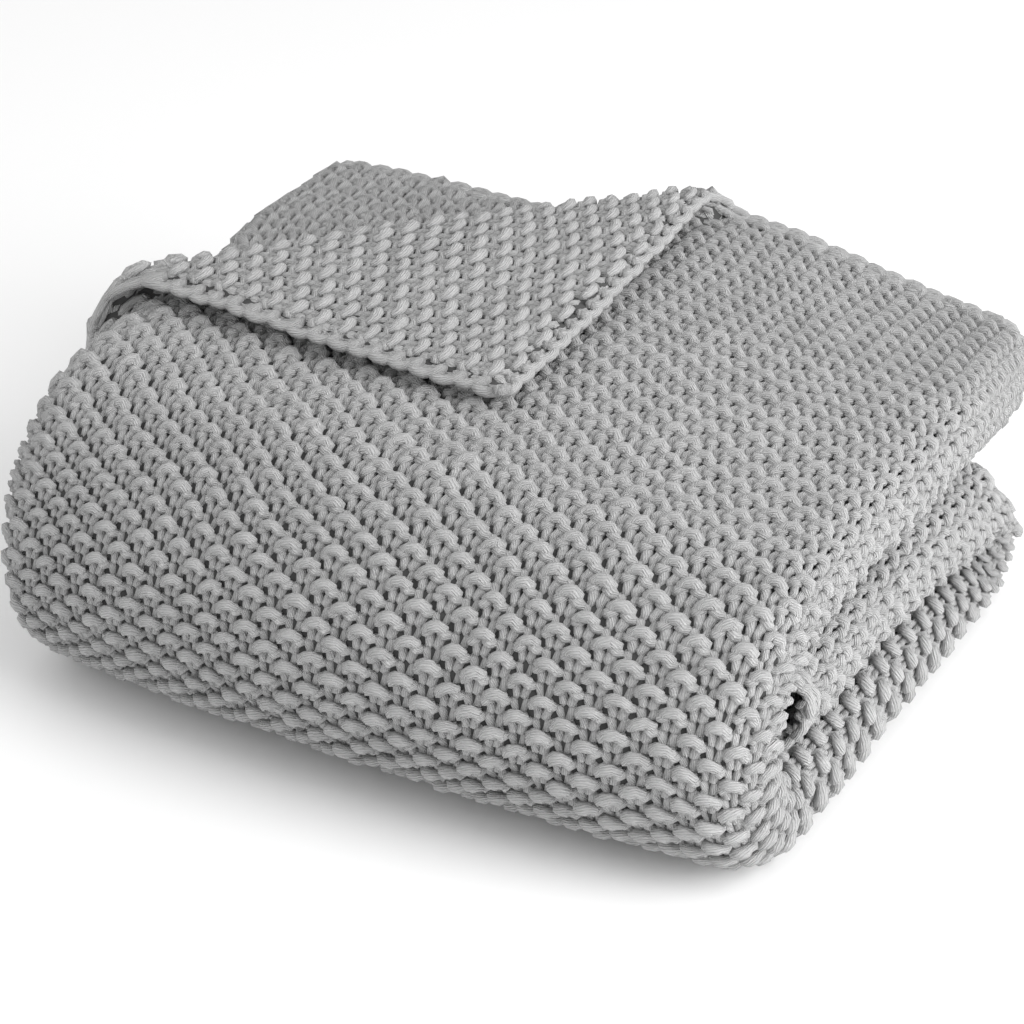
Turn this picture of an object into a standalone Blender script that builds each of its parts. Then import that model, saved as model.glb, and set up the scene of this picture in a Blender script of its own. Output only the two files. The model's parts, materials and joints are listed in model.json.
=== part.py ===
"""Chunky knitted throw, folded into a thick bundle with one corner turned back.

The throw is a single sheet. It is folded in thirds across its width into a long strip, and
the strip is folded in thirds too: from the top round the front, back below, and forward
again in between, so that the bundle is nine layers deep.
A point of the cloth is named by s, its distance from the left free edge, t, its distance
from the back free edge, and rise, its height above the middle of the cloth.
"""

from math import cos, exp, pi, radians, sin, sqrt

import bmesh
import bpy
from mathutils import Vector
from mathutils.geometry import delaunay_2d_cdt

# The flat throw, in metres
THROW_WIDTH = 1.52
THROW_LENGTH = 1.27
CLOTH_THICKNESS = 0.0165

# The folded bundle
LAYER_PITCH = 0.0232
STRIP_WIDTH = 0.4697
STRIP_DEPTH = 0.3496
BOTTOM_DEPTH = 0.289
LEFT_CURL = radians(115)

# The corner turned back over the top
CORNER_LEG = 0.3291
CORNER_ROLL = 0.0130
CORNER_GAP = 0.003
CORNER_LIFT = 0.0046
CORNER_LIFT_BACK = 0.0104
CORNER_LIFT_LEFT = 0.0053
LIFT_REACH = 0.0805
SETTLE_REACH = 0.1035

# How the soft bundle departs from a ruled one
HEIGHT_TAPER = -0.0433
HEIGHT_TWIST = -0.0559
CROWN_DEPTH = 0.0143
CROWN_WIDTH = 0.0478
CROWN_SHIFT = -0.19
FRONT_BOW = 0.017
CORNER_ROUNDING = 0.0219
BACK_SKEW = -0.0012
TOP_LEAN = 0.0266
CREASE_LIFT = 0.0079
CREASE_SLOPE = -0.0135
CREASE_BEND = -0.032
LOBE_SPREAD = 0.0043
RIGHT_FALL = -0.0404
RIGHT_FALL_BACK = -0.017
LEFT_SPREAD = 0.0058

# How far the inner layers reach out where the outer one is turned back
INNER_REACH = 0.0544
REACH_START = 0.10
REACH_END = 0.28

# How finely the rolled corner is drawn: lines along the roll, their margin and their points
ROLL_LINES = 9
ROLL_MARGIN = 0.014
ROLL_SPACING = 0.03

COLOUR = (0.36, 0.36, 0.36, 1.0)
ROUGHNESS = 0.95

# Radii of the folds' middle lines, and where each stretch of the section ends
RIGHT_RADIUS = LAYER_PITCH
LEFT_RADIUS = LAYER_PITCH / 2
WRAP_RADIUS = 3 * LAYER_PITCH
BACK_RADIUS = 1.5 * LAYER_PITCH
CORNER_PITCH = CLOTH_THICKNESS + CORNER_GAP
CURL_X = -STRIP_WIDTH / 2
RIGHT_X = STRIP_WIDTH / 2
LEFT_X = CURL_X + 0.8 * LAYER_PITCH
S_CURL = RIGHT_RADIUS * LEFT_CURL
S_TOP = S_CURL + RIGHT_X - CURL_X
S_RIGHT = S_TOP + pi * RIGHT_RADIUS
S_RETURN = S_RIGHT + RIGHT_X - LEFT_X
S_LEFT = S_RETURN + pi * LEFT_RADIUS
FRONT_START = STRIP_DEPTH
FRONT_END = FRONT_START + pi * WRAP_RADIUS
BOTTOM_END = FRONT_END + BOTTOM_DEPTH
BACK_END = BOTTOM_END + pi * BACK_RADIUS
BUNDLE_RADIUS = WRAP_RADIUS + RIGHT_RADIUS + CLOTH_THICKNESS / 2
BUNDLE_HEIGHT = 2 * BUNDLE_RADIUS
HALF_WIDTH = RIGHT_X + RIGHT_RADIUS
DEPTH = STRIP_DEPTH + BUNDLE_RADIUS
FRONT_Y = DEPTH / 2 - STRIP_DEPTH
BACK_Y = FRONT_Y + BOTTOM_DEPTH


def clamp(value, low, high):
    return max(low, min(high, value))


def section(s, offset):
    """Place in the strip's section, seen from the front: x, and height above its middle."""
    outer = RIGHT_RADIUS + offset
    inner = LEFT_RADIUS + offset
    if s < S_CURL:
        angle = (S_CURL - s) / RIGHT_RADIUS
        return CURL_X - outer * sin(angle), outer * cos(angle)
    if s < S_TOP:
        return CURL_X + s - S_CURL, outer
    if s < S_RIGHT:
        angle = (s - S_TOP) / RIGHT_RADIUS
        return RIGHT_X + outer * sin(angle), outer * cos(angle)
    if s < S_RETURN:
        return RIGHT_X - (s - S_RIGHT), -outer
    if s < S_LEFT:
        angle = (s - S_RETURN) / LEFT_RADIUS
        return LEFT_X - inner * sin(angle), -LEFT_RADIUS - inner * cos(angle)
    return LEFT_X + s - S_LEFT, offset


def wrap(along, height):
    """Place on the way from the top's back edge, round the front, below, and back inside: y, z."""
    wide = WRAP_RADIUS + height
    narrow = BACK_RADIUS + height
    if along < FRONT_START:
        return DEPTH / 2 - along, BUNDLE_RADIUS + wide
    if along < FRONT_END:
        angle = (along - FRONT_START) / WRAP_RADIUS
        return FRONT_Y - wide * sin(angle), BUNDLE_RADIUS + wide * cos(angle)
    if along < BOTTOM_END:
        return FRONT_Y + along - FRONT_END, BUNDLE_RADIUS - wide
    if along < BACK_END:
        angle = (along - BOTTOM_END) / BACK_RADIUS
        return BACK_Y + narrow * sin(angle), BUNDLE_RADIUS - BACK_RADIUS - narrow * cos(angle)
    return BACK_Y - (along - BACK_END), BUNDLE_RADIUS + height


def turned_back(s, t, rise):
    """The outer layer near its corner, which rolls over a diagonal line and lies on itself."""
    past = (CORNER_LEG - s - t) / sqrt(2)
    side = (s - t) / CORNER_LEG
    lift = CORNER_LIFT + CORNER_LIFT_BACK * clamp(side, 0, 1) ** 2
    lift += CORNER_LIFT_LEFT * clamp(-side, 0, 1) ** 2
    if past <= 0:
        return s, t, rise + lift * exp(-((past / LIFT_REACH) ** 2))
    roll_length = pi * CORNER_ROLL
    if past < roll_length:
        angle = past / CORNER_ROLL
        forward = (CORNER_ROLL - rise) * sin(angle)
        height = lift + CORNER_ROLL - (CORNER_ROLL - rise) * cos(angle)
    else:
        over = past - roll_length
        forward = -over
        crest = lift + 2 * CORNER_ROLL
        height = CORNER_PITCH + (crest - CORNER_PITCH) * exp(-((over / SETTLE_REACH) ** 2)) - rise
    shift = (past - forward) / sqrt(2)
    return s + shift, t + shift, height


def relaxed(x, y, z):
    """The ruled bundle's point moved to where the soft one has it; the bottom stays flat."""
    across = x / HALF_WIDTH
    back = y / (DEPTH / 2)
    level = z / BUNDLE_HEIGHT
    edge = clamp(abs(across), 0, 1.2)
    crown = CROWN_DEPTH * (back - CROWN_SHIFT) ** 2 + CROWN_WIDTH * across**2
    height = z * (1 + HEIGHT_TAPER * across + HEIGHT_TWIST * across * back - crown)
    height *= 1 - (RIGHT_FALL + RIGHT_FALL_BACK * back) * clamp(across, 0, 1) ** 4
    crease = CREASE_LIFT + CREASE_SLOPE * back + CREASE_BEND * back**2
    height += crease * sin(pi * clamp(level, 0, 1)) * clamp(across, 0, 1) ** 3
    rounding = 1 - CORNER_ROUNDING * edge**4 * clamp(abs(back), 0, 1.2) ** 4
    low_right = clamp(1 - 2 * level, 0, 1) * clamp(across, 0, 1.2) ** 2
    spread = LOBE_SPREAD * low_right * (1 + back) / 2
    spread -= LEFT_SPREAD * clamp(-across, 0, 1.2) ** 2 * sin(pi * clamp(level, 0, 1))
    bow = FRONT_BOW * (1 - across**2) * clamp(-back, 0, 1)
    return (
        x * rounding + BACK_SKEW * back + spread,
        (y - bow) * rounding + TOP_LEAN * (level - 0.5),
        height,
    )


def cloth_point(s, t, rise):
    """Where a point of the throw lies in the folded bundle."""
    if s < S_TOP and s + t < CORNER_LEG + 4 * LIFT_REACH:
        s, t, rise = turned_back(s, t, rise)
    x, height = section(s, rise)
    if s > S_RIGHT:
        settled = clamp((t - REACH_START) / (REACH_END - REACH_START), 0, 1)
        reach = INNER_REACH * (1 + cos(pi * settled)) / 2
        x -= reach * clamp((RIGHT_X - x) / STRIP_WIDTH, 0, 1)
    y, z = wrap(t, height)
    return relaxed(x, y, z)


def stations(stretches):
    """Stops along one direction of the cloth, from (end, count) for each stretch."""
    stops = [0.0]
    for end, count in stretches:
        start = stops[-1]
        stops += [start + (end - start) * step / count for step in range(1, count + 1)]
    return stops


def pattern_points():
    """Points of the flat throw at which its folded shape is read."""
    columns = stations([(S_CURL, 4), (S_TOP, 10), (S_RIGHT, 8), (S_RETURN, 7), (S_LEFT, 6), (THROW_WIDTH, 6)])
    rows = stations([(FRONT_START, 9), (FRONT_END, 11), (BOTTOM_END, 8), (BACK_END, 9), (THROW_LENGTH, 8)])
    roll_length = pi * CORNER_ROLL
    start, end = -ROLL_MARGIN, roll_length + ROLL_MARGIN
    points = []
    for s in columns:
        for t in rows:
            past = (CORNER_LEG - s - t) / sqrt(2)
            if not start - ROLL_MARGIN / 2 < past < end + ROLL_MARGIN / 2:
                points.append((s, t))
    creases = []
    for line in range(ROLL_LINES + 1):
        leg = CORNER_LEG - sqrt(2) * (start + (end - start) * line / ROLL_LINES)
        reach = int(leg / ROLL_SPACING)
        sides = [-leg] + [step * ROLL_SPACING for step in range(1 - reach, reach)] + [leg]
        first = len(points)
        points += [((leg + side) / 2, (leg - side) / 2) for side in sides]
        creases += [(index, index + 1) for index in range(first, len(points) - 1)]
    return points, creases


def throw_mesh():
    """The closed sheet: an outer and an inner skin on one flat pattern, joined round the edge."""
    points, creases = pattern_points()
    flat = [Vector(point) for point in points]
    placed, _, triangles, _, _, _ = delaunay_2d_cdt(flat, creases, [], 0, 1e-7)
    mesh = bmesh.new()
    skins = []
    for rise in (CLOTH_THICKNESS / 2, -CLOTH_THICKNESS / 2):
        skins.append([mesh.verts.new(cloth_point(s, t, rise)) for s, t in placed])
    upper, lower = skins
    for a, b, c in triangles:
        mesh.faces.new((upper[a], upper[b], upper[c]))
        mesh.faces.new((lower[c], lower[b], lower[a]))
    sides = {}
    for triangle in triangles:
        for start, end in zip(triangle, triangle[1:] + triangle[:1]):
            sides[start, end] = True
    for start, end in sides:
        if (end, start) not in sides:
            mesh.faces.new((upper[end], upper[start], lower[start], lower[end]))
    bmesh.ops.recalc_face_normals(mesh, faces=mesh.faces)
    bmesh.ops.triangulate(mesh, faces=mesh.faces)
    return mesh


def centred(mesh):
    """Move the mesh so that its box stands on the origin."""
    corners = [vert.co for vert in mesh.verts]
    middle = [(min(c[axis] for c in corners) + max(c[axis] for c in corners)) / 2 for axis in (0, 1)]
    floor = min(c[2] for c in corners)
    bmesh.ops.translate(mesh, verts=mesh.verts, vec=(-middle[0], -middle[1], -floor))


def yarn_material():
    material = bpy.data.materials.new("grey yarn")
    material.use_nodes = True
    shader = material.node_tree.nodes["Principled BSDF"]
    shader.inputs["Base Color"].default_value = COLOUR
    shader.inputs["Roughness"].default_value = ROUGHNESS
    shader.inputs["Metallic"].default_value = 0.0
    return material


def main():
    for old in list(bpy.data.objects):
        bpy.data.objects.remove(old)
    shape = throw_mesh()
    centred(shape)
    mesh = bpy.data.meshes.new("throw")
    shape.to_mesh(mesh)
    shape.free()
    mesh.shade_smooth()
    mesh.materials.append(yarn_material())
    throw = bpy.data.objects.new("throw", mesh)
    bpy.context.scene.collection.objects.link(throw)


main()
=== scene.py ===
"""Looks of the folded knit throw: moss stitch, edges, yarn, floor, light and camera.

The throw is one sheet, folded in thirds across its width into a strip, and the strip in
thirds too, with a corner of its outer layer turned back over the top.
A point of the cloth is named by s, its distance from the left free edge, t, its distance
from the back free edge, and rise, its height above the middle of the cloth.
"""

import json
from math import pi, radians, sqrt

import bpy
import numpy as np
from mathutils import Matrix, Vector

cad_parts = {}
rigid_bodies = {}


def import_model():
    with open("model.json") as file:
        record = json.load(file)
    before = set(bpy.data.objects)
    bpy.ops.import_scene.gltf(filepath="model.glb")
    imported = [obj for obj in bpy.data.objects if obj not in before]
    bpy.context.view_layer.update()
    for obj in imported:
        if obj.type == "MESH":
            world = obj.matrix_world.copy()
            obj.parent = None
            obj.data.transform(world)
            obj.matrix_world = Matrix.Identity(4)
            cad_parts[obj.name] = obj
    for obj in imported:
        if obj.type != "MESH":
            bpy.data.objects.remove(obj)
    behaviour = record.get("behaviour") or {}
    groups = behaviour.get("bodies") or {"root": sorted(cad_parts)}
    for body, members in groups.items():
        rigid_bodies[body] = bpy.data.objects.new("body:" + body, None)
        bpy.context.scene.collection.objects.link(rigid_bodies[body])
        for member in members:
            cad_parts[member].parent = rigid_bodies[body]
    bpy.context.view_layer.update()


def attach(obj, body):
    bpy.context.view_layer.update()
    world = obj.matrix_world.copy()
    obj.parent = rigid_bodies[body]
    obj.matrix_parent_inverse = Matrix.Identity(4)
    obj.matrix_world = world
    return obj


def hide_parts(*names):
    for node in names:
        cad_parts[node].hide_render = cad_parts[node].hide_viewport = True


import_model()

bl_info = {
    "name": "Folded knit throw",
    "version": (1, 0, 0),
    "blender": (4, 5, 0),
    "location": "View3D > Sidebar > Throw",
    "description": "Dresses the folded throw in moss stitch and sets its floor, light and camera",
    "category": "Object",
}

# The flat throw, in metres
THROW_WIDTH = 1.52
THROW_LENGTH = 1.27
CLOTH_THICKNESS = 0.0165

# The folded bundle
LAYER_PITCH = 0.0232
STRIP_WIDTH = 0.4697
STRIP_DEPTH = 0.3496
BOTTOM_DEPTH = 0.289
LEFT_CURL = radians(115)
# How far inside the left curl the inner folds turn, in layer pitches
LEFT_INSET = 0.8

# The corner turned back over the top
CORNER_LEG = 0.3291
CORNER_ROLL = 0.0130
CORNER_GAP = 0.003
CORNER_LIFT = 0.0046
CORNER_LIFT_BACK = 0.0104
CORNER_LIFT_LEFT = 0.0053
LIFT_REACH = 0.0805
SETTLE_REACH = 0.1035

# How the soft bundle departs from a ruled one
HEIGHT_TAPER = -0.0433
HEIGHT_TWIST = -0.0559
CROWN_DEPTH = 0.0143
CROWN_WIDTH = 0.0478
CROWN_SHIFT = -0.19
FRONT_BOW = 0.017
CORNER_ROUNDING = 0.0219
BACK_SKEW = -0.0012
TOP_LEAN = 0.0266
CREASE_LIFT = 0.0079
CREASE_SLOPE = -0.0135
CREASE_BEND = -0.032
LOBE_SPREAD = 0.0043
RIGHT_FALL = -0.0404
RIGHT_FALL_BACK = -0.017
LEFT_SPREAD = 0.0058

# How it departs further at the back right: drawn in between the lobes, with an open pocket
NOTCH_DEPTH = 0.012
NOTCH_LEVEL = 0.74
NOTCH_SPREAD = 0.16
BULGE_DEPTH = 0.008
BULGE_LEVEL = 0.44
BULGE_SPREAD = 0.10
POCKET_OPENING = 0.007
POCKET_REACH = 0.030
POCKET_HEART = 0.002

# How far the inner layers reach out where the outer one is turned back
INNER_REACH = 0.0544
REACH_START = 0.10
REACH_END = 0.28

# Radii of the folds' middle lines, and where each stretch of the section ends
RIGHT_RADIUS = LAYER_PITCH
LEFT_RADIUS = LAYER_PITCH / 2
WRAP_RADIUS = 3 * LAYER_PITCH
BACK_RADIUS = 1.5 * LAYER_PITCH
CORNER_PITCH = CLOTH_THICKNESS + CORNER_GAP
CURL_X = -STRIP_WIDTH / 2
RIGHT_X = STRIP_WIDTH / 2
LEFT_X = CURL_X + LEFT_INSET * LAYER_PITCH
S_CURL = RIGHT_RADIUS * LEFT_CURL
S_TOP = S_CURL + RIGHT_X - CURL_X
S_RIGHT = S_TOP + pi * RIGHT_RADIUS
S_RETURN = S_RIGHT + RIGHT_X - LEFT_X
S_LEFT = S_RETURN + pi * LEFT_RADIUS
FRONT_START = STRIP_DEPTH
FRONT_END = FRONT_START + pi * WRAP_RADIUS
BOTTOM_END = FRONT_END + BOTTOM_DEPTH
BACK_END = BOTTOM_END + pi * BACK_RADIUS
BUNDLE_RADIUS = WRAP_RADIUS + RIGHT_RADIUS + CLOTH_THICKNESS / 2
BUNDLE_HEIGHT = 2 * BUNDLE_RADIUS
HALF_WIDTH = RIGHT_X + RIGHT_RADIUS
DEPTH = STRIP_DEPTH + BUNDLE_RADIUS
FRONT_Y = DEPTH / 2 - STRIP_DEPTH
BACK_Y = FRONT_Y + BOTTOM_DEPTH

# Half of one loop, from the middle of the link on its left to the top of its head:
# wales from its middle, courses from its base, yarns forward, and thickness of the yarn
HALF_LOOP = (
    (-0.50, -0.48, 0.00, 0.94),
    (-0.38, -0.46, -0.46, 1.04),
    (-0.23, -0.32, -0.46, 1.02),
    (-0.15, -0.14, 0.06, 0.94),
    (-0.19, 0.18, 0.20, 0.96),
    (-0.28, 0.54, 0.04, 0.98),
    (-0.33, 0.84, 0.62, 1.06),
    (0.00, 0.96, 0.88, 1.14),
)
# Where along that line its rings stand: closest together round the head
FINE_RINGS = (0, 1, 2, 3.4, 5, 6, 6.6, 7.4, 8, 9, 10.6, 12, 13)
COARSE_RINGS = (0, 1, 2, 3.5, 6, 7, 8, 10.5, 12, 13)

# Usual distance between wales and between courses, and the yarn that a loop's length is measured for
WALE = 0.0145
COURSE = 0.0109
MEASURED_YARN = 0.0064

# Distance between wales and between courses at stops along the flat cloth, and its bare margins
WALE_MARGIN = 0.005
COURSE_MARGIN = 0.004
WALE_STOPS = (0.0, 0.10, 0.25, 0.40, S_TOP - 0.02, S_TOP + 0.02, S_RIGHT - 0.01, S_RIGHT + 0.03, THROW_WIDTH)
WALE_PITCHES = (0.0132, 0.0136, 0.0151, 0.0149, 0.0158, 0.0110, 0.0110, 0.0145, 0.0145)
COURSE_STOPS = (
    0.0,
    0.12,
    0.18,
    0.25,
    FRONT_START - 0.02,
    FRONT_START + 0.01,
    FRONT_START + 0.04,
    (FRONT_START + FRONT_END) / 2,
    FRONT_END - 0.01,
    FRONT_END + 0.03,
    THROW_LENGTH,
)
COURSE_PITCHES = (0.0074, 0.0077, 0.0092, 0.0101, 0.0114, 0.0077, 0.0068, 0.0074, 0.0086, 0.0107, 0.0109)

# How far the wales fan out towards the back of the soft cloth, at stops across it
WALE_FAN = 0.18
FAN_LENGTH = 0.22
FAN_STOPS = (0.0, 0.15, 0.40, S_LEFT)
FAN_REACHES = (0.0, 0.15, 0.04, 0.0)

# How far its courses slant, at stops across and along it
COURSE_SLANT = 0.13
SLANT_STOPS_ACROSS = (0.0, 0.42, S_TOP, S_LEFT)
SLANT_ACROSS = (-0.2, 0.22, 0.26, 0.0)
SLANT_STOPS_ALONG = (0.0, 0.16, FRONT_START, 0.42, FRONT_END, BOTTOM_END)
SLANT_ALONG = (0.0, 1.0, 0.8, 0.5, 0.4, 0.0)

# How much flatter the stitches of the turned-back corner lie, and how much fuller their yarn is
CORNER_FLATTENING = 0.25
CORNER_FULLNESS = 0.24

# How one stitch differs from the next: moved by wales, courses and yarns, tilted, and thicker
NUDGE = (0.03, 0.04, 0.05)
TILT = 0.16
GIRTH_SPREAD = 0.05

# Lengths of the waves in which rows stray across, along and up, and how much less they stray up
WAVER_LENGTHS = (0.126, 0.104, 0.058)
WAVER_UP = 0.3

# Length of yarn by which the plies of each course are shifted from those of the last
COURSE_SHIFT = 0.42

# One link of an edge's chain, from its left root to the top of its arc: across, along and up,
# in widths, pitches and yarns, and thickness of the yarn
LINK = (
    (-0.10, -0.20, -0.30, 0.85),
    (-0.17, 0.22, 0.22, 0.90),
    (-0.30, 0.66, 0.48, 1.00),
    (-0.34, 0.98, 0.42, 1.05),
    (-0.20, 1.22, 0.34, 1.10),
    (0.00, 1.30, 0.30, 1.10),
)
LINK_SIDES = 6
LINK_NUDGE = 0.05
LINK_RING_SPACING = 0.0046
LINK_SHIFT = 0.127

# Chains of the side edge and of the two ends: pitch, width, and distance from the edge
SIDE_LINK_PITCH = 0.0150
SIDE_LINK_WIDTH = 0.0085
SIDE_LINK_INSET = 0.0025
END_LINK_WIDTH = 0.0105
END_LINK_INSET = 0.0015

# Bands of the cloth that show and are knitted, next to its folds, edges and corner
SIDE_BAND = 0.035
BACK_FOLD_MARGIN = 0.01
RETURN_BAND = 0.02
LEFT_FOLD_START = 0.005
LEFT_FOLD_END = 0.01
CURL_BAND = 0.02
BACK_EDGE_BAND = 0.045
UNDER_CORNER_MARGIN = 0.01

# The cloth under the stitches: its margin inside the edge, and its grid
CORE_MARGIN = 0.004
CORE_COLUMNS = 80
CORE_ROWS = 110

# Height of the lowest stitches over the floor
FLOOR_GAP = 0.0002

# How finely the folded sheet is sampled for its box, and a direction of the cloth for its lines
BOX_COLUMNS = 400
BOX_ROWS = 500
LINE_SAMPLES = 6000

# The yarn's surface: its plies, how far they wander, how its fibres stretch, and the noises' scales
PLIES = 13.0
PLY_WANDER = 5.0
PLY_ROUNDNESS = 0.7
FIBRE_ROUND = 3.2
FIBRE_ALONG = 113.0
FIBRE_SCALE = 2.4
WANDER_SCALE = 183.0
WISP_SCALE = 780.0
CLOUD_SCALE = 39.0
INSIDE_SCALE = 226.0

# The camera's focal length and the middle of its view, in pixels of a square picture
PICTURE_SIZE = 1024
FOCAL_LENGTH = 3259
VIEW_MIDDLE = (506.12, 488.76)
SENSOR_WIDTH = 36
TARGET_HEIGHT = 0.1007

# Lights: share of the key light's power, size, and place
LIGHTS = {
    "key light": (1.0, 1.38, (1.96, -0.35, 1.72)),
    "fill light": (0.15, 1.84, (-1.15, -1.84, 1.61)),
    "side light": (0.65, 1.1, (2.1, -0.1, 0.60)),
}


def section(s, offset):
    """Place in the strip's section, seen from the front: x, and height above its middle."""
    outer = RIGHT_RADIUS + offset
    inner = LEFT_RADIUS + offset
    curl = (S_CURL - s) / RIGHT_RADIUS
    right = (s - S_TOP) / RIGHT_RADIUS
    left = (s - S_RETURN) / LEFT_RADIUS
    stretches = [s < S_CURL, s < S_TOP, s < S_RIGHT, s < S_RETURN, s < S_LEFT]
    x = np.select(
        stretches,
        [
            CURL_X - outer * np.sin(curl),
            CURL_X + s - S_CURL,
            RIGHT_X + outer * np.sin(right),
            RIGHT_X - (s - S_RIGHT),
            LEFT_X - inner * np.sin(left),
        ],
        LEFT_X + s - S_LEFT,
    )
    height = np.select(
        stretches,
        [outer * np.cos(curl), outer, outer * np.cos(right), -outer, -LEFT_RADIUS - inner * np.cos(left)],
        offset,
    )
    return x, height


def wrap(along, height):
    """Place on the way from the top's back edge, round the front, below, and back inside: y, z."""
    wide = WRAP_RADIUS + height
    narrow = BACK_RADIUS + height
    front = (along - FRONT_START) / WRAP_RADIUS
    back = (along - BOTTOM_END) / BACK_RADIUS
    stretches = [along < FRONT_START, along < FRONT_END, along < BOTTOM_END, along < BACK_END]
    y = np.select(
        stretches,
        [
            DEPTH / 2 - along,
            FRONT_Y - wide * np.sin(front),
            FRONT_Y + along - FRONT_END,
            BACK_Y + narrow * np.sin(back),
        ],
        BACK_Y - (along - BACK_END),
    )
    levels = [wide, wide * np.cos(front), -wide, -BACK_RADIUS - narrow * np.cos(back)]
    level = np.select(stretches, levels, height)
    return y, BUNDLE_RADIUS + level


def turned_back(s, along, rise):
    """The outer layer near its corner, which rolls over a diagonal line and lies on itself."""
    past = (CORNER_LEG - s - along) / sqrt(2)
    side = (s - along) / CORNER_LEG
    lift = CORNER_LIFT + CORNER_LIFT_BACK * np.clip(side, 0, 1) ** 2
    lift = lift + CORNER_LIFT_LEFT * np.clip(-side, 0, 1) ** 2
    roll_length = pi * CORNER_ROLL
    angle = past / CORNER_ROLL
    over = past - roll_length
    crest = lift + 2 * CORNER_ROLL
    stretches = [past <= 0, past < roll_length]
    forward = np.select(stretches, [past, (CORNER_ROLL - rise) * np.sin(angle)], -over)
    level = np.select(
        stretches,
        [
            rise + lift * np.exp(-((past / LIFT_REACH) ** 2)),
            lift + CORNER_ROLL - (CORNER_ROLL - rise) * np.cos(angle),
        ],
        CORNER_PITCH + (crest - CORNER_PITCH) * np.exp(-((over / SETTLE_REACH) ** 2)) - rise,
    )
    shift = (past - forward) / sqrt(2)
    return s + shift, along + shift, level


def relaxed(x, y, z):
    """The ruled bundle's point moved to where the soft one has it; the bottom stays flat."""
    across = x / HALF_WIDTH
    back = y / (DEPTH / 2)
    level = z / BUNDLE_HEIGHT
    edge = np.clip(np.abs(across), 0, 1.2)
    crown = CROWN_DEPTH * (back - CROWN_SHIFT) ** 2 + CROWN_WIDTH * across**2
    height = z * (1 + HEIGHT_TAPER * across + HEIGHT_TWIST * across * back - crown)
    height = height * (1 - (RIGHT_FALL + RIGHT_FALL_BACK * back) * np.clip(across, 0, 1) ** 4)
    crease = CREASE_LIFT + CREASE_SLOPE * back + CREASE_BEND * back**2
    height = height + crease * np.sin(pi * np.clip(level, 0, 1)) * np.clip(across, 0, 1) ** 3
    drawn_in = NOTCH_DEPTH * np.exp(-(((level - NOTCH_LEVEL) / NOTCH_SPREAD) ** 2))
    drawn_in -= BULGE_DEPTH * np.exp(-(((level - BULGE_LEVEL) / BULGE_SPREAD) ** 2))
    drawn_in = drawn_in * np.clip(across, 0, 1) ** 3 * np.clip(back, 0, 1)
    behind = y - BACK_Y
    above = z - (BUNDLE_RADIUS - BACK_RADIUS)
    away = np.sqrt(behind**2 + above**2)
    push = POCKET_OPENING * np.exp(-((away / POCKET_REACH) ** 2)) * np.clip(across, 0, 1) ** 8
    push = push / (away + POCKET_HEART)
    height = height + push * above
    rounding = 1 - CORNER_ROUNDING * edge**4 * np.clip(np.abs(back), 0, 1.2) ** 4
    low_right = np.clip(1 - 2 * level, 0, 1) * np.clip(across, 0, 1.2) ** 2
    spread = LOBE_SPREAD * low_right * (1 + back) / 2
    spread = spread - LEFT_SPREAD * np.clip(-across, 0, 1.2) ** 2 * np.sin(pi * np.clip(level, 0, 1))
    bow = FRONT_BOW * (1 - across**2) * np.clip(-back, 0, 1)
    return (
        x * rounding + BACK_SKEW * back + spread - drawn_in,
        (y - bow + push * behind) * rounding + TOP_LEAN * (level - 0.5),
        height,
    )


def folded(s, t, rise):
    """Where points of the throw lie in the folded bundle, before it is centred."""
    corner = (s < S_TOP) & (s + t < CORNER_LEG + 4 * LIFT_REACH)
    turned_s, turned_t, level = turned_back(s, t, rise)
    x, height = section(np.where(corner, turned_s, s), np.where(corner, level, rise))
    settled = np.clip((t - REACH_START) / (REACH_END - REACH_START), 0, 1)
    reach = INNER_REACH * (1 + np.cos(pi * settled)) / 2
    x = x - np.where(s > S_RIGHT, reach * np.clip((RIGHT_X - x) / STRIP_WIDTH, 0, 1), 0)
    y, z = wrap(np.where(corner, turned_t, t), height)
    return np.stack(relaxed(x, y, z), axis=-1)


def centring():
    """The shift that stands the folded sheet's box on the origin."""
    s, t = np.meshgrid(np.linspace(0, THROW_WIDTH, BOX_COLUMNS), np.linspace(0, THROW_LENGTH, BOX_ROWS))
    skins = [folded(s, t, rise) for rise in (CLOTH_THICKNESS / 2, -CLOTH_THICKNESS / 2)]
    points = np.concatenate(skins).reshape(-1, 3)
    low = points.min(axis=0)
    high = points.max(axis=0)
    return np.array((-(low[0] + high[0]) / 2, -(low[1] + high[1]) / 2, -low[2]))


SHIFT = centring()


def place(s, t, rise):
    """Points of the throw in the object's frame, none below the floor."""
    points = folded(s, t, rise) + SHIFT
    points[..., 2] = np.maximum(points[..., 2], FLOOR_GAP)
    return points


def lines(length, stops, pitches, margin):
    """Stitch lines across one direction of the cloth, a pitch apart."""
    fine = np.linspace(margin, length - margin, LINE_SAMPLES)
    density = 1 / np.interp(fine, stops, pitches)
    count = np.concatenate([[0], np.cumsum((density[1:] + density[:-1]) / 2 * np.diff(fine))])
    total = round(count[-1])
    return np.interp(np.linspace(0, count[-1], total + 1), count, fine)


WALE_LINES = lines(THROW_WIDTH, WALE_STOPS, WALE_PITCHES, WALE_MARGIN)
COURSE_LINES = lines(THROW_LENGTH, COURSE_STOPS, COURSE_PITCHES, COURSE_MARGIN)[::-1]


def on_lines(index, positions):
    """The place of a fraction of a line's number, also a little past the first and last."""
    last = len(positions) - 1
    inside = np.interp(index, np.arange(last + 1), positions)
    before = np.minimum(index, 0) * (positions[1] - positions[0])
    after = np.maximum(index - last, 0) * (positions[last] - positions[last - 1])
    return inside + before + after


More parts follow.
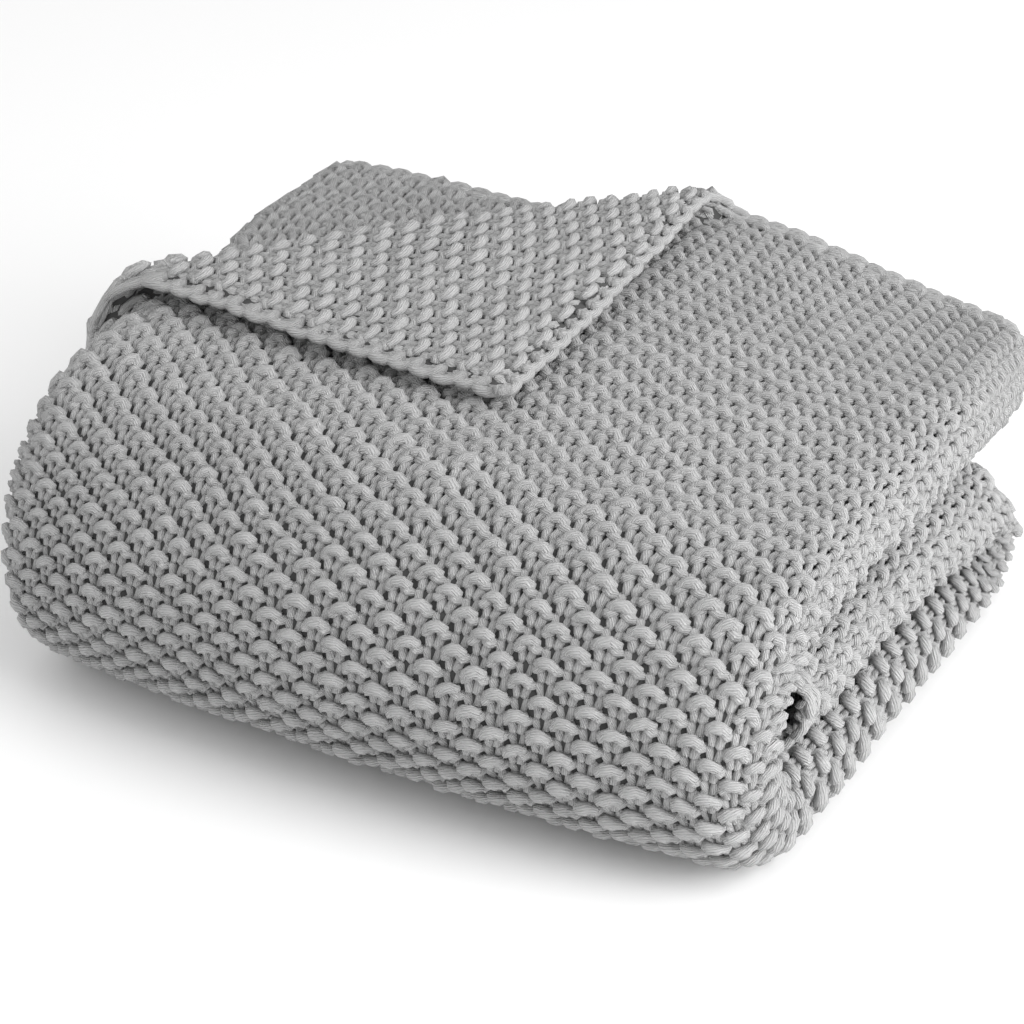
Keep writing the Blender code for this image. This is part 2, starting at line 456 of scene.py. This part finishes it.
def drifted(s, t):
    """Where the soft cloth lets its stitches drift from straight wales and courses."""
    fan = np.interp(s, FAN_STOPS, FAN_REACHES) * np.clip(1 - t / FAN_LENGTH, 0, 1)
    slant = np.interp(s, SLANT_STOPS_ACROSS, SLANT_ACROSS) * np.interp(t, SLANT_STOPS_ALONG, SLANT_ALONG)
    return s + WALE_FAN * fan, t - COURSE_SLANT * slant


def in_corner(s, t):
    """From 0 on the flat cloth to 1 where the corner rolls over and lies turned back."""
    past = (CORNER_LEG - s - t) / sqrt(2)
    return np.clip(past / CORNER_ROLL + 1, 0, 1)


def pressed(s, t):
    """How far the stitches stand out, less where the corner rolls over and lies turned back."""
    return 1 - CORNER_FLATTENING * in_corner(s, t)


def smooth_noise(s, t, seed, wavelength):
    """A gentle random field over the flat cloth, between about -1 and 1."""
    random = np.random.default_rng(seed)
    field = np.zeros_like(s)
    for _ in range(9):
        heading = random.uniform(0, 2 * pi)
        wave = wavelength * random.uniform(0.7, 1.6)
        phase = random.uniform(0, 2 * pi)
        field = field + np.sin(2 * pi / wave * (np.cos(heading) * s + np.sin(heading) * t) + phase)
    return field / 3


def loop_table(stops):
    """Ring centres of one loop with their place along the yarn and their share of its jitter."""
    right = [(-p, q, z, g) for p, q, z, g in HALF_LOOP[-2:0:-1]]
    points = np.array(list(HALF_LOOP) + right + [(0.5, *HALF_LOOP[0][1:])])
    step = np.array((1.0, 0.0, 0.0, 0.0))
    padded = np.vstack([points[-2] - step, points, points[1] + step])
    table = []
    for stop in stops:
        index = int(stop)
        u = stop - index
        a, b, c, d = padded[index : index + 4]
        table.append(
            0.5 * (2 * b + (c - a) * u + (2 * a - 5 * b + 4 * c - d) * u**2 + (3 * b - a - 3 * c + d) * u**3)
        )
    table = np.array(table)
    size = np.array((WALE, COURSE, MEASURED_YARN))
    closed = np.vstack([table[:, :3], points[-1:, :3]]) * size
    along = np.concatenate([[0], np.cumsum(np.linalg.norm(np.diff(closed, axis=0), axis=1))])
    weight = np.sin(pi * along[:-1] / along[-1]) ** 2
    return table, weight, along


def tube(centres, thickness, sides):
    """Rings of points round a yarn's centre line, given in flat metres."""
    heading = np.gradient(centres, axis=0)
    heading /= np.linalg.norm(heading, axis=1, keepdims=True)
    flat = np.stack([-heading[:, 1], heading[:, 0], np.zeros(len(heading))], axis=1)
    flat /= np.maximum(np.linalg.norm(flat, axis=1, keepdims=True), 1e-6)
    up = np.cross(heading, flat)
    turn = np.arange(sides) * 2 * pi / sides
    around = flat[:, None] * np.cos(turn)[None, :, None] + up[:, None] * np.sin(turn)[None, :, None]
    return centres[:, None] + around * (thickness[:, None, None] / 2)


class YarnMesh:
    """Gathers tubes of yarn and makes one mesh of them, with a UV map along and round the yarn."""

    def __init__(self, sides):
        self.sides = sides
        self.points = []
        self.quads = []
        self.quad_uvs = []
        self.caps = []
        self.cap_uvs = []
        self.count = 0

    def add(self, rings, along):
        sides = self.sides
        number = len(rings)
        index = self.count + np.arange(number * sides).reshape(number, sides)
        following = np.roll(index, -1, axis=1)
        quads = np.stack([index[:-1], following[:-1], following[1:], index[1:]], axis=-1)
        side = np.arange(sides) / sides
        start = np.broadcast_to(along[:-1, None], (number - 1, sides))
        end = np.broadcast_to(along[1:, None], (number - 1, sides))
        low = np.broadcast_to(side, (number - 1, sides))
        high = low + 1 / sides
        corners = [(start, low), (start, high), (end, high), (end, low)]
        uvs = np.stack([np.stack(corner, axis=-1) for corner in corners], axis=-2)
        self.points.append(rings.reshape(-1, 3))
        self.quads.append(quads.reshape(-1, 4))
        self.quad_uvs.append(uvs.reshape(-1, 2))
        self.caps += [index[0][::-1], index[-1]]
        self.cap_uvs += [np.stack([np.full(sides, along[k]), side], axis=-1) for k in (0, -1)]
        self.count += number * sides

    def build(self, name):
        quads = np.vstack(self.quads)
        caps = np.array(self.caps)
        mesh = bpy.data.meshes.new(name)
        points = np.vstack(self.points)
        mesh.vertices.add(len(points))
        mesh.vertices.foreach_set("co", points.astype("f4").ravel())
        loops = np.concatenate([quads.ravel(), caps.ravel()]).astype("i4")
        mesh.loops.add(len(loops))
        mesh.loops.foreach_set("vertex_index", loops)
        sizes = np.concatenate([np.full(len(quads), 4), np.full(len(caps), self.sides)])
        mesh.polygons.add(len(sizes))
        starts = np.concatenate([[0], np.cumsum(sizes)[:-1]]).astype("i4")
        mesh.polygons.foreach_set("loop_start", starts)
        uv_map = mesh.uv_layers.new(name="yarn")
        uvs = np.vstack(self.quad_uvs + self.cap_uvs)
        uv_map.data.foreach_set("uv", uvs.astype("f4").ravel())
        mesh.update(calc_edges=True)
        mesh.validate()
        mesh.shade_smooth()
        piece = bpy.data.objects.new(name, mesh)
        bpy.context.scene.collection.objects.link(piece)
        return piece


def runs(row):
    """First and past-the-last number of each stretch of true values."""
    edges = np.flatnonzero(np.diff(np.concatenate([[0], row.astype(int), [0]])))
    return zip(edges[::2], edges[1::2])


def moss_stitch(name, chosen, settings, stops, sides):
    """Every chosen stitch of the cloth as yarn, course by course; chosen is courses by wales."""
    table, weight, along_loop = loop_table(stops)
    random = np.random.default_rng(11)
    courses, wales = chosen.shape
    nudge = random.normal(0, settings.irregularity, (courses, wales, 3)) * NUDGE
    tilt = random.normal(0, settings.irregularity, (courses, wales)) * TILT
    girth = 1 + random.normal(0, settings.irregularity, (courses, wales)) * GIRTH_SPREAD
    girth = girth * (1 + CORNER_FULLNESS * in_corner(*stitch_places()))
    yarn = settings.yarn_diameter
    yarns = YarnMesh(sides)
    for course in range(courses):
        for first, past in runs(chosen[course]):
            number = past - first
            wale = np.arange(first, past)
            face = np.where((wale + course) % 2 == 0, 1.0, -1.0)
            moved = weight[None, :, None] * nudge[course, first:past, None, :]
            p = wale[:, None] + 0.5 + table[None, :, 0] + moved[..., 0]
            leaning = weight[None] * tilt[course, first:past, None] * table[None, :, 0]
            q = course + table[None, :, 1] + moved[..., 1] + leaning
            z = face[:, None] * (table[None, :, 2] + moved[..., 2])
            g = table[None, :, 3] * girth[course, first:past, None]
            centres = np.stack([p.ravel() * WALE, q.ravel() * COURSE, z.ravel() * yarn], axis=1)
            last = np.array([[past * WALE, (course + table[0, 1]) * COURSE, 0.0]])
            centres = np.vstack([centres, last])
            thickness = np.append(g.ravel(), table[0, 3]) * yarn
            rings = tube(centres, thickness, sides)
            s = on_lines(rings[..., 0] / WALE, WALE_LINES)
            t = on_lines(rings[..., 1] / COURSE, COURSE_LINES)
            s, t = drifted(s, t)
            s = s + settings.waver * smooth_noise(s, t, 5, WAVER_LENGTHS[0])
            t = t + settings.waver * smooth_noise(s, t, 6, WAVER_LENGTHS[1])
            up = WAVER_UP * settings.waver * smooth_noise(s, t, 7, WAVER_LENGTHS[2])
            rise = rings[..., 2] * pressed(s, t) + up
            starts = wale[:, None] * along_loop[-1] + course * COURSE_SHIFT
            along = np.append((starts + along_loop[None, :-1]).ravel(), starts[-1, 0] + along_loop[-1])
            yarns.add(place(s, t, rise), along)
    return yarns.build(name)


def edge_chain(name, chains, settings):
    """Chains of links along the cloth's edges; each chain is (start, step, count, width)."""
    links = np.array(list(LINK) + [(-p, q, z, g) for p, q, z, g in LINK[-2::-1]])
    random = np.random.default_rng(23)
    yarns = YarnMesh(LINK_SIDES)
    yarn = settings.yarn_diameter
    for start, step, count, width in chains:
        start = np.array(start)
        step = np.array(step)
        pitch = np.linalg.norm(step)
        across = np.array((-step[1], step[0])) / pitch
        for link in range(count):
            shake = random.normal(0, LINK_NUDGE, 3) * settings.irregularity
            centres = links[:, :3] * (width, pitch, yarn) + shake * (width, pitch, yarn)
            rings = tube(centres, links[:, 3] * yarn, LINK_SIDES)
            flat = start + link * step + rings[..., :1] * across + rings[..., 1:2] * step / pitch
            along = np.arange(len(links)) * LINK_RING_SPACING + link * LINK_SHIFT
            yarns.add(place(flat[..., 0], flat[..., 1], rings[..., 2]), along)
    return yarns.build(name)


def cloth_core(name, thickness):
    """The sheet of cloth under the stitches, with all its layers and folds, as a closed mesh."""
    columns = np.linspace(CORE_MARGIN, THROW_WIDTH - CORE_MARGIN, CORE_COLUMNS)
    rows = np.linspace(CORE_MARGIN, THROW_LENGTH - CORE_MARGIN, CORE_ROWS)
    s, t = np.meshgrid(columns, rows)
    upper = place(s, t, np.full_like(s, thickness / 2)).reshape(-1, 3)
    lower = place(s, t, np.full_like(s, -thickness / 2)).reshape(-1, 3)
    index = np.arange(s.size).reshape(s.shape)
    quads = np.stack([index[:-1, :-1], index[1:, :-1], index[1:, 1:], index[:-1, 1:]], axis=-1)
    quads = quads.reshape(-1, 4)
    rim = np.concatenate([index[0, :-1], index[:-1, -1], index[-1, :0:-1], index[:0:-1, 0]])
    following = np.roll(rim, -1)
    wall = np.stack([rim, following, following + s.size, rim + s.size], axis=-1)
    faces = np.vstack([quads, quads[:, ::-1] + s.size, wall])
    mesh = bpy.data.meshes.new(name)
    mesh.from_pydata(np.vstack([upper, lower]).tolist(), [], faces.tolist())
    mesh.validate()
    mesh.shade_smooth()
    piece = bpy.data.objects.new(name, mesh)
    bpy.context.scene.collection.objects.link(piece)
    return piece


class Nodes:
    """Adds nodes to a tree and joins them up."""

    def __init__(self, tree):
        self.tree = tree

    def feed(self, socket, value):
        if isinstance(value, bpy.types.NodeSocket):
            self.tree.links.new(value, socket)
        else:
            socket.default_value = value

    def add(self, kind, inputs=None, **settings):
        node = self.tree.nodes.new(kind)
        for key, value in settings.items():
            setattr(node, key, value)
        for key, value in (inputs or {}).items():
            self.feed(node.inputs[key], value)
        return node

    def math(self, operation, first, second=0.0):
        return self.add("ShaderNodeMath", {0: first, 1: second}, operation=operation).outputs[0]

    def noise(self, vector, scale, detail):
        return self.add("ShaderNodeTexNoise", {"Vector": vector, "Scale": scale, "Detail": detail}).outputs[0]


def yarn_surface():
    """Node group: plies, fibres and tone of a plied yarn, with painted shade between the plies and painted
    light on their tops, from its UV map and place.
    """
    group = bpy.data.node_groups.new("plied yarn", "ShaderNodeTree")
    face = group.interface
    for label, kind, value in (
        ("UV", "NodeSocketVector", (0.0, 0.0, 0.0)),
        ("Place", "NodeSocketVector", (0.0, 0.0, 0.0)),
        ("Plies", "NodeSocketFloat", 9.0),
        ("Twist Length", "NodeSocketFloat", 0.02),
        ("Light Tone", "NodeSocketColor", (0.4, 0.4, 0.4, 1.0)),
        ("Dark Tone", "NodeSocketColor", (0.3, 0.3, 0.3, 1.0)),
    ):
        socket = face.new_socket(name=label, in_out="INPUT", socket_type=kind)
        socket.default_value = value
    face.new_socket(name="Color", in_out="OUTPUT", socket_type="NodeSocketColor")
    face.new_socket(name="Height", in_out="OUTPUT", socket_type="NodeSocketFloat")
    nodes = Nodes(group)
    given = nodes.add("NodeGroupInput").outputs
    split = nodes.add("ShaderNodeSeparateXYZ", {0: given["UV"]}).outputs
    turns = nodes.math("ADD", split["Y"], nodes.math("DIVIDE", split["X"], given["Twist Length"]))
    angle = nodes.math("MULTIPLY", turns, 2 * pi)
    slow = nodes.noise(given["Place"], WANDER_SCALE, 2.0)
    wander = nodes.math("MULTIPLY", slow, PLY_WANDER)
    wave = nodes.math("SINE", nodes.math("ADD", nodes.math("MULTIPLY", angle, given["Plies"]), wander))
    rounded = nodes.math("POWER", nodes.math("ADD", nodes.math("MULTIPLY", wave, 0.5), 0.5), PLY_ROUNDNESS)
    strand = nodes.add("ShaderNodeCombineXYZ").inputs
    nodes.feed(strand["X"], nodes.math("MULTIPLY", nodes.math("COSINE", angle), FIBRE_ROUND))
    nodes.feed(strand["Y"], nodes.math("MULTIPLY", nodes.math("SINE", angle), FIBRE_ROUND))
    nodes.feed(strand["Z"], nodes.math("MULTIPLY", split["X"], FIBRE_ALONG))
    strand_vector = strand["X"].node.outputs[0]
    fibre = nodes.noise(strand_vector, FIBRE_SCALE, 4.0)
    wisps = nodes.noise(given["Place"], WISP_SCALE, 3.0)
    height = nodes.math("ADD", nodes.math("MULTIPLY", rounded, 0.8), nodes.math("MULTIPLY", fibre, 2.4))
    height = nodes.math("ADD", height, nodes.math("MULTIPLY", wisps, 0.35))
    cloudy = nodes.noise(given["Place"], CLOUD_SCALE, 4.0)
    # The ply wave in the tone paints shade between the plies and light on their tops; the cloud and fibre
    # noises are the yarn's own random tone.
    tone = nodes.math("ADD", nodes.math("MULTIPLY", cloudy, 0.3), nodes.math("MULTIPLY", rounded, 0.4))
    tone = nodes.math("ADD", tone, nodes.math("MULTIPLY", fibre, 0.6))
    mix = nodes.add("ShaderNodeMix", data_type="RGBA")
    nodes.feed(mix.inputs["Factor"], tone)
    nodes.feed(mix.inputs[6], given["Dark Tone"])
    nodes.feed(mix.inputs[7], given["Light Tone"])
    out = nodes.add("NodeGroupOutput")
    nodes.feed(out.inputs["Color"], mix.outputs[2])
    nodes.feed(out.inputs["Height"], height)
    return group


def yarn_material(name, settings, colours):
    """Soft matt plied yarn."""
    group = bpy.data.node_groups.get("plied yarn") or yarn_surface()
    material = bpy.data.materials.new(name)
    material.use_nodes = True
    nodes = Nodes(material.node_tree)
    shader = material.node_tree.nodes["Principled BSDF"]
    shader.inputs["Roughness"].default_value = 0.92
    shader.inputs["Specular IOR Level"].default_value = 0.2
    shader.inputs["Sheen Weight"].default_value = 0.15
    shader.inputs["Sheen Roughness"].default_value = 0.6
    uv = nodes.add("ShaderNodeUVMap", uv_map="yarn").outputs[0]
    position = nodes.add("ShaderNodeTexCoord").outputs["Object"]
    surface = nodes.add("ShaderNodeGroup", node_tree=group)
    nodes.feed(surface.inputs["UV"], uv)
    nodes.feed(surface.inputs["Place"], position)
    nodes.feed(surface.inputs["Plies"], PLIES)
    nodes.feed(surface.inputs["Twist Length"], settings.twist_length)
    nodes.feed(surface.inputs["Light Tone"], (*colours.yarn_light_and_ply_highlight, 1.0))
    nodes.feed(surface.inputs["Dark Tone"], (*colours.yarn_dark_and_ply_shade, 1.0))
    height = surface.outputs["Height"]
    bump = nodes.add("ShaderNodeBump", {"Strength": 0.75, "Distance": 0.0016, "Height": height})
    nodes.feed(shader.inputs["Base Color"], surface.outputs["Color"])
    nodes.feed(shader.inputs["Normal"], bump.outputs[0])
    return material


def painted_shade_core_material(colour):
    """The inside of the knit, seen only through its gaps, in a dark colour that is painted shade."""
    material = bpy.data.materials.new("painted shade inside the knit")
    material.use_nodes = True
    nodes = Nodes(material.node_tree)
    shader = material.node_tree.nodes["Principled BSDF"]
    shader.inputs["Roughness"].default_value = 1.0
    shader.inputs["Specular IOR Level"].default_value = 0.0
    position = nodes.add("ShaderNodeTexCoord").outputs["Object"]
    noise = nodes.noise(position, INSIDE_SCALE, 4.0)
    mix = nodes.add("ShaderNodeMix", data_type="RGBA")
    nodes.feed(mix.inputs["Factor"], noise)
    nodes.feed(mix.inputs[6], (*[0.7 * c for c in colour], 1.0))
    nodes.feed(mix.inputs[7], (*colour, 1.0))
    bump = nodes.add("ShaderNodeBump", {"Strength": 0.6, "Distance": 0.001, "Height": noise})
    nodes.feed(shader.inputs["Base Color"], mix.outputs[2])
    nodes.feed(shader.inputs["Normal"], bump.outputs[0])
    return material


class KnitSettings(bpy.types.PropertyGroup):
    """Sizes of the knit."""

    yarn_diameter: bpy.props.FloatProperty(
        name="Yarn diameter", description="Thickness of the yarn", default=0.0066, unit="LENGTH"
    )
    core_thickness: bpy.props.FloatProperty(
        name="Core thickness",
        description="Thickness of the cloth under the stitches",
        default=0.0010,
        unit="LENGTH",
    )
    waver: bpy.props.FloatProperty(
        name="Waver",
        description="How far rows of stitches stray from straight",
        default=0.0016,
        unit="LENGTH",
    )
    irregularity: bpy.props.FloatProperty(
        name="Irregularity", description="How much one stitch differs from the next", default=1.0, min=0.0
    )
    twist_length: bpy.props.FloatProperty(
        name="Twist length",
        description="Length of yarn in which its plies turn once",
        default=0.058,
        unit="LENGTH",
    )


class ColourSettings(bpy.types.PropertyGroup):
    """Colours of the yarn, of the painted shade inside the knit, and of the floor."""

    # Both yarn tones are the yarn's own colour where the noises mix them, and painted light on the plies'
    # tops and painted shade between them where the ply wave mixes them.
    yarn_light_and_ply_highlight: bpy.props.FloatVectorProperty(
        name="Yarn, light",
        description="Tone of the tops of the plies",
        subtype="COLOR",
        default=(0.60, 0.60, 0.60),
    )
    yarn_dark_and_ply_shade: bpy.props.FloatVectorProperty(
        name="Yarn, dark", description="Tone between the plies", subtype="COLOR", default=(0.28, 0.28, 0.28)
    )
    # The inside's dark colour is painted shade for the shaded yarn deep in the gaps between stitches.
    core: bpy.props.FloatVectorProperty(
        name="Inside",
        description="Tone of the painted shade inside the knit",
        subtype="COLOR",
        default=(0.09, 0.09, 0.09),
    )
    floor: bpy.props.FloatVectorProperty(
        name="Floor", description="Colour of the floor", subtype="COLOR", default=(0.9, 0.9, 0.9)
    )


class StageSettings(bpy.types.PropertyGroup):
    """Camera and lights."""

    azimuth: bpy.props.FloatProperty(
        name="Azimuth", description="Camera's turn from the front", default=radians(28.6625), subtype="ANGLE"
    )
    elevation: bpy.props.FloatProperty(
        name="Elevation", description="Camera's height angle", default=radians(30.8473), subtype="ANGLE"
    )
    distance: bpy.props.FloatProperty(
        name="Distance", description="Camera to the bundle's middle", default=2.0971, unit="LENGTH"
    )
    key_power: bpy.props.FloatProperty(
        name="Key light", description="Power of the soft light from the right", default=37.0, unit="POWER"
    )
    sky_strength: bpy.props.FloatProperty(
        name="Sky", description="Strength of the even light all round", default=0.86, min=0.0
    )


def stitch_places():
    """Middle of every stitch of the cloth: s and t, as courses by wales."""
    s = (WALE_LINES[1:] + WALE_LINES[:-1]) / 2
    t = (COURSE_LINES[1:] + COURSE_LINES[:-1]) / 2
    return drifted(*np.meshgrid(s, t))


def finish_knit(piece, context):
    """Give a knitted piece its yarn and hang it on the bundle."""
    name = "light grey plied yarn"
    material = bpy.data.materials.get(name)
    if material is None:
        material = yarn_material(name, context.scene.throw_knit, context.scene.throw_colours)
    piece.data.materials.append(material)
    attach(piece, "root")


class THROW_OT_top(bpy.types.Operator):
    """Knit the outer layer of the top, with the corner turned back"""

    bl_idname = "throw.knit_top"
    bl_label = "Knit the top"

    def execute(self, context):
        s, t = stitch_places()
        knit = context.scene.throw_knit
        outer = (s < S_RIGHT) & (t <= FRONT_START)
        left = outer & (s < S_TOP / 2)
        finish_knit(moss_stitch("knit_top_left", left, knit, FINE_RINGS, 6), context)
        finish_knit(moss_stitch("knit_top_right", outer & ~left, knit, FINE_RINGS, 6), context)
        return {"FINISHED"}


class THROW_OT_front(bpy.types.Operator):
    """Knit the outer layer round the front"""

    bl_idname = "throw.knit_front"
    bl_label = "Knit the front"

    def execute(self, context):
        s, t = stitch_places()
        outer = (s < S_RIGHT) & (t > FRONT_START) & (t <= FRONT_END)
        finish_knit(moss_stitch("knit_front", outer, context.scene.throw_knit, FINE_RINGS, 6), context)
        return {"FINISHED"}


class THROW_OT_underside(bpy.types.Operator):
    """Knit the outer layer of the underside and its fold at the back"""

    bl_idname = "throw.knit_underside"
    bl_label = "Knit the underside"

    def execute(self, context):
        s, t = stitch_places()
        knit = context.scene.throw_knit
        below = (s < S_TOP - SIDE_BAND) & (t > FRONT_END) & (t <= BOTTOM_END)
        back = (s < S_TOP - SIDE_BAND) & (t > BOTTOM_END) & (t <= BACK_END + BACK_FOLD_MARGIN)
        finish_knit(moss_stitch("knit_underside", below, knit, COARSE_RINGS, 4), context)
        finish_knit(moss_stitch("knit_back_fold", back, knit, COARSE_RINGS, 5), context)
        return {"FINISHED"}


class THROW_OT_layers(bpy.types.Operator):
    """Knit what shows of the other layers at the sides, the back and under the corner"""

    bl_idname = "throw.knit_layers"
    bl_label = "Knit the inner layers"

    def execute(self, context):
        s, t = stitch_places()
        knit = context.scene.throw_knit
        side = (s > S_TOP - SIDE_BAND) & (s < S_RIGHT) & (t > FRONT_END)
        finish_knit(moss_stitch("knit_right_side", side, knit, FINE_RINGS, 6), context)
        returning = (s >= S_RIGHT) & (s < S_RIGHT + RETURN_BAND)
        fold = (s > S_RETURN - LEFT_FOLD_START) & (s < S_LEFT + LEFT_FOLD_END)
        curl = (s < S_CURL + CURL_BAND) & (t > BACK_END + BACK_FOLD_MARGIN)
        back = (s >= S_RIGHT) & (t < BACK_EDGE_BAND)
        second = (s > S_LEFT) & (s - S_LEFT + t < CORNER_LEG + UNDER_CORNER_MARGIN)
        chosen = returning | fold | curl | back | second
        finish_knit(moss_stitch("knit_inner_layers", chosen, knit, COARSE_RINGS, 5), context)
        return {"FINISHED"}


class THROW_OT_edges(bpy.types.Operator):
    """Finish the free edges: a chain up the side and a bound-off chain along the ends"""

    bl_idname = "throw.knit_edges"
    bl_label = "Finish the edges"

    def execute(self, context):
        side_count = int(THROW_LENGTH / SIDE_LINK_PITCH)
        end_count = int(THROW_WIDTH / WALE)
        chains = [
            ((SIDE_LINK_INSET, 0.0), (0.0, SIDE_LINK_PITCH), side_count, SIDE_LINK_WIDTH),
            ((0.0, END_LINK_INSET), (WALE, 0.0), end_count, END_LINK_WIDTH),
            ((0.0, THROW_LENGTH - END_LINK_INSET), (WALE, 0.0), end_count, END_LINK_WIDTH),
        ]
        finish_knit(edge_chain("edge_chains", chains, context.scene.throw_knit), context)
        return {"FINISHED"}


class THROW_OT_cloth(bpy.types.Operator):
    bl_idname = "throw.add_cloth"
    bl_label = "Add the cloth"

    def execute(self, context):
        knitted = [piece for piece in bpy.data.objects if piece.name.startswith(("knit_", "edge_"))]
        if not knitted:
            raise RuntimeError("the stitches come before the cloth that carries them")
        core = cloth_core("cloth_core", context.scene.throw_knit.core_thickness)
        # The cloth under the stitches is coloured dark: painted shade in the gaps between them.
        core.data.materials.append(painted_shade_core_material(tuple(context.scene.throw_colours.core)))
        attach(core, "root")
        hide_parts("throw")
        return {"FINISHED"}


class THROW_OT_stage(bpy.types.Operator):
    """Add the pale floor, the soft light and the camera"""

    bl_idname = "throw.add_stage"
    bl_label = "Add the stage"

    def execute(self, context):
        stage = context.scene.throw_stage
        bpy.ops.object.select_all(action="DESELECT")
        bpy.ops.mesh.primitive_plane_add(size=12, location=(0, 0, -0.0005))
        floor = context.object
        floor.name = "floor"
        material = bpy.data.materials.new("pale floor")
        material.use_nodes = True
        shader = material.node_tree.nodes["Principled BSDF"]
        shader.inputs["Base Color"].default_value = (*context.scene.throw_colours.floor, 1.0)
        shader.inputs["Roughness"].default_value = 0.8
        floor.data.materials.append(material)

        target = Vector((0, 0, TARGET_HEIGHT))
        away = Vector(
            (
                np.sin(stage.azimuth) * np.cos(stage.elevation),
                -np.cos(stage.azimuth) * np.cos(stage.elevation),
                np.sin(stage.elevation),
            )
        )
        lens = bpy.data.cameras.new("camera")
        lens.sensor_width = SENSOR_WIDTH
        lens.lens = SENSOR_WIDTH * FOCAL_LENGTH / PICTURE_SIZE
        lens.shift_x = (PICTURE_SIZE / 2 - VIEW_MIDDLE[0]) / PICTURE_SIZE
        lens.shift_y = (VIEW_MIDDLE[1] - PICTURE_SIZE / 2) / PICTURE_SIZE
        camera = bpy.data.objects.new("camera", lens)
        camera.location = target + away * stage.distance
        camera.rotation_euler = away.to_track_quat("Z", "Y").to_euler()
        context.scene.collection.objects.link(camera)
        context.scene.camera = camera

        world = bpy.data.worlds.new("even light")
        world.use_nodes = True
        backdrop = world.node_tree.nodes["Background"]
        backdrop.inputs["Color"].default_value = (1.0, 1.0, 1.0, 1.0)
        backdrop.inputs["Strength"].default_value = stage.sky_strength
        context.scene.world = world
        context.scene.view_settings.view_transform = "Standard"
        for name, (share, size, place_at) in LIGHTS.items():
            lamp = bpy.data.lights.new(name, "AREA")
            lamp.energy = stage.key_power * share
            lamp.size = size
            light = bpy.data.objects.new(name, lamp)
            light.location = place_at
            light.rotation_euler = (Vector(place_at) - target).to_track_quat("Z", "Y").to_euler()
            context.scene.collection.objects.link(light)
        return {"FINISHED"}


class THROW_PT_panel(bpy.types.Panel):
    """Buttons and sizes of the throw"""

    bl_label = "Folded knit throw"
    bl_idname = "THROW_PT_panel"
    bl_space_type = "VIEW_3D"
    bl_region_type = "UI"
    bl_category = "Throw"

    def draw(self, context):
        layout = self.layout
        for operator in OPERATORS:
            layout.operator(operator.bl_idname)
        for group in ("throw_knit", "throw_colours", "throw_stage"):
            box = layout.box()
            settings = getattr(context.scene, group)
            for key in settings.__annotations__:
                box.prop(settings, key)


OPERATORS = (
    THROW_OT_top,
    THROW_OT_front,
    THROW_OT_underside,
    THROW_OT_layers,
    THROW_OT_edges,
    THROW_OT_cloth,
    THROW_OT_stage,
)
CLASSES = (KnitSettings, ColourSettings, StageSettings, *OPERATORS, THROW_PT_panel)


def register():
    for cls in CLASSES:
        bpy.utils.register_class(cls)
    bpy.types.Scene.throw_knit = bpy.props.PointerProperty(type=KnitSettings)
    bpy.types.Scene.throw_colours = bpy.props.PointerProperty(type=ColourSettings)
    bpy.types.Scene.throw_stage = bpy.props.PointerProperty(type=StageSettings)


def unregister():
    del bpy.types.Scene.throw_stage
    del bpy.types.Scene.throw_colours
    del bpy.types.Scene.throw_knit
    for cls in reversed(CLASSES):
        bpy.utils.unregister_class(cls)


def main():
    register()
    bpy.ops.throw.knit_top()
    bpy.ops.throw.knit_front()
    bpy.ops.throw.knit_underside()
    bpy.ops.throw.knit_layers()
    bpy.ops.throw.knit_edges()
    bpy.ops.throw.add_cloth()
    bpy.ops.throw.add_stage()


if __name__ == "__main__":
    main()
